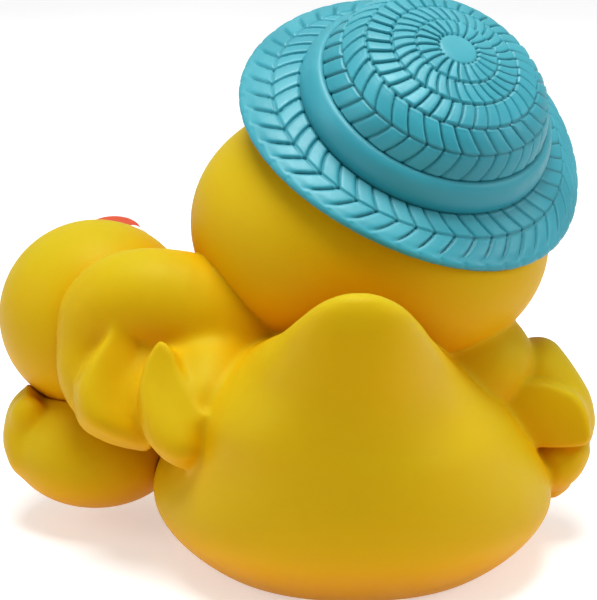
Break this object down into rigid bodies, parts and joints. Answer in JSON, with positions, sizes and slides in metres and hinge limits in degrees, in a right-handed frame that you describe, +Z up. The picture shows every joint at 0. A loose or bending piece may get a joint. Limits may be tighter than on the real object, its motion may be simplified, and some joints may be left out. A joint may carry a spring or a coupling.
{
  "type": "floating chlorine dispenser",
  "caption": "Duck-shaped pool float with a sun hat and a duckling, carrying a flush chlorine tablet dispenser in its underside, with a bayonet cap and a turning flow dial.",
  "frame": {"origin": "centre of the flat base, on the dispenser's axis", "axes": "+Z up, -Y the way the duck faces, +X the duck's left side, where the duckling sits"},
  "size_m": [0.2429, 0.2055, 0.2182],
  "materials": {
    "yellow_vinyl": "satin soft vinyl",
    "coral_vinyl": "satin soft vinyl",
    "hat_vinyl": "satin soft vinyl, pressed plait",
    "black_gloss": "gloss",
    "white_plastic": "moulded, fine grain",
    "blue_plastic": "moulded, satin",
    "clear_plug": "natural polyethylene",
    "stainless": "turned",
    "coated_steel": "dipped plastic coating",
    "gasket_rubber": "matte",
    "chlorine": "pressed chalky powder"
  },
  "bodies": {
    "float": {"duck_body": "yellow_vinyl", "duck_head": "yellow_vinyl", "duck_bill": "coral_vinyl", "duck_eyes": "black_gloss", "sun_hat": "hat_vinyl", "hat_post": "clear_plug", "neck_plug": "clear_plug", "duckling_body": "yellow_vinyl", "duckling_head": "yellow_vinyl", "duckling_bill": "coral_vinyl", "duckling_eyes": "black_gloss", "duckling_side_plug": "clear_plug", "duckling_neck_plug": "clear_plug", "chamber_liner": "white_plastic", "liner_gasket": "gasket_rubber", "flange_screws": "stainless", "ballast_ring": "coated_steel"},
    "basket": {"tablet_basket": "white_plastic", "basket_lid": "white_plastic", "chlorine_tablets": "chlorine"},
    "cap": {"base_cap": "white_plastic", "retaining_ring": "stainless", "dial_screw": "stainless", "spring_washer": "stainless"},
    "dial": {"dosage_dial": "blue_plastic"}
  },
  "joints": [
    {"name": "basket_withdraw", "type": "slide", "parent": "float", "child": "basket", "axis": [0, 0, -1], "range_m": [0, 0.1]},
    {"name": "cap_turn", "type": "hinge", "parent": "basket", "child": "cap", "pos_m": [0, 0, 0.008], "axis": [0, 0, 1], "range_deg": [0, 30]},
    {"name": "dial_turn", "type": "hinge", "parent": "cap", "child": "dial", "pos_m": [0, 0, 0.006], "axis": [0, 0, 1], "range_deg": [0, 30]}
  ]
}
